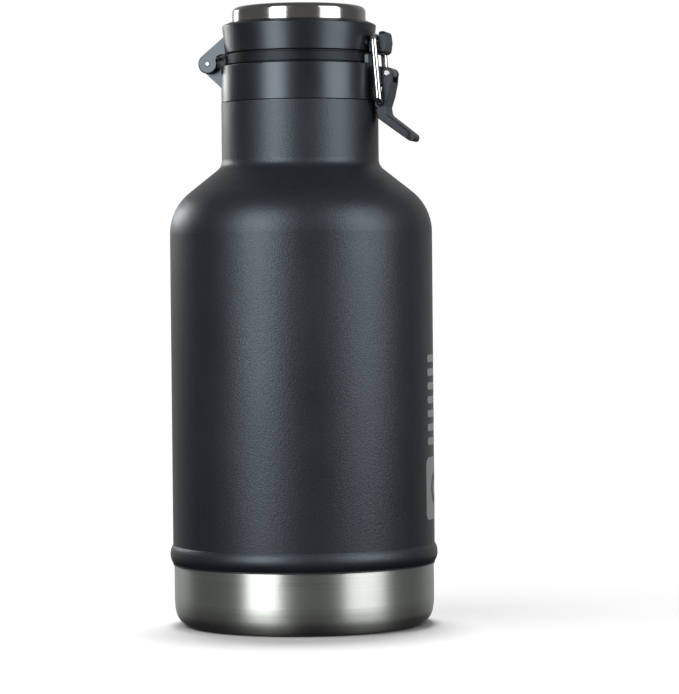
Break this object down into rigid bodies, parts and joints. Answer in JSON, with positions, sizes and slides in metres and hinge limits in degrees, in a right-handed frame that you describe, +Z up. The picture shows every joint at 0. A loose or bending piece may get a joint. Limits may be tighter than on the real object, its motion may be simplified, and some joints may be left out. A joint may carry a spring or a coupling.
{
  "type": "growler",
  "caption": "Large vacuum-insulated steel growler with a screw collar, hinged insulated lid and an over-centre wire latch, matte black over a bare steel base.",
  "frame": {"origin": "centre of the foot ring's underside, on the surface the growler stands on", "axes": "+Z up along the bottle's axis, +X towards the wire latch, -X towards the lid hinge"},
  "size_m": [0.1252, 0.1252, 0.2885],
  "materials": {
    "powder_coat": "matte powder coat",
    "base_steel": "brushed",
    "liner_steel": "brushed",
    "plate_steel": "mill",
    "getter_metal": "sintered",
    "seal_bead": "fused bead",
    "collar_black": "satin",
    "ring_black": "satin",
    "seal_rubber": "matte",
    "pin_steel": "polished",
    "lid_black": "satin",
    "cap_steel": "polished",
    "foam_white": "foam",
    "plug_black": "satin",
    "lever_black": "satin",
    "wire_steel": "polished"
  },
  "bodies": {
    "bottle": {"outer_shell": "powder_coat", "bottom_plate": "plate_steel", "base_cup": "base_steel", "inner_liner": "liner_steel", "getter": "getter_metal", "vacuum_seal": "seal_bead"},
    "seal_ring": {"collar_gasket": "seal_rubber"},
    "collar": {"collar_ring": "collar_black", "pour_ring": "ring_black", "hinge_pin": "pin_steel", "lever_pin": "pin_steel"},
    "lid": {"lid_shell": "lid_black", "lid_cap": "cap_steel", "lid_foam": "foam_white", "lid_plug": "plug_black", "lid_gasket": "seal_rubber", "latch_hook": "lever_black", "hook_screws": "pin_steel"},
    "lever": {"lever": "lever_black"},
    "bail": {"bail_wire": "wire_steel"}
  },
  "joints": [
    {"name": "collar_lift", "type": "slide", "parent": "bottle", "child": "seal_ring", "axis": [0, 0, 1], "range_m": [0, 0.00801]},
    {"name": "collar_turn", "type": "hinge", "parent": "seal_ring", "child": "collar", "pos_m": [0, 0, 0.2439], "axis": [0, 0, 1], "range_deg": [0, 720]},
    {"name": "lid_hinge", "type": "hinge", "parent": "collar", "child": "lid", "pos_m": [-0.0421, 0, 0.2627], "axis": [0, -1, 0], "range_deg": [0, 200]},
    {"name": "lever_pivot", "type": "hinge", "parent": "collar", "child": "lever", "pos_m": [0.0433, 0, 0.2565], "axis": [0, -1, 0], "range_deg": [0, 120]},
    {"name": "bail_swing", "type": "hinge", "parent": "lever", "child": "bail", "pos_m": [0.0402, 0, 0.2426], "axis": [0, -1, 0], "range_deg": [-304, 0]}
  ],
  "couplings": [
    {"joint": "collar_lift", "follows": "collar_turn", "m_per_rad": 0.00063662},
    {"joint": "bail_swing", "follows": "lever_pivot", "ratio": -2.53}
  ]
}
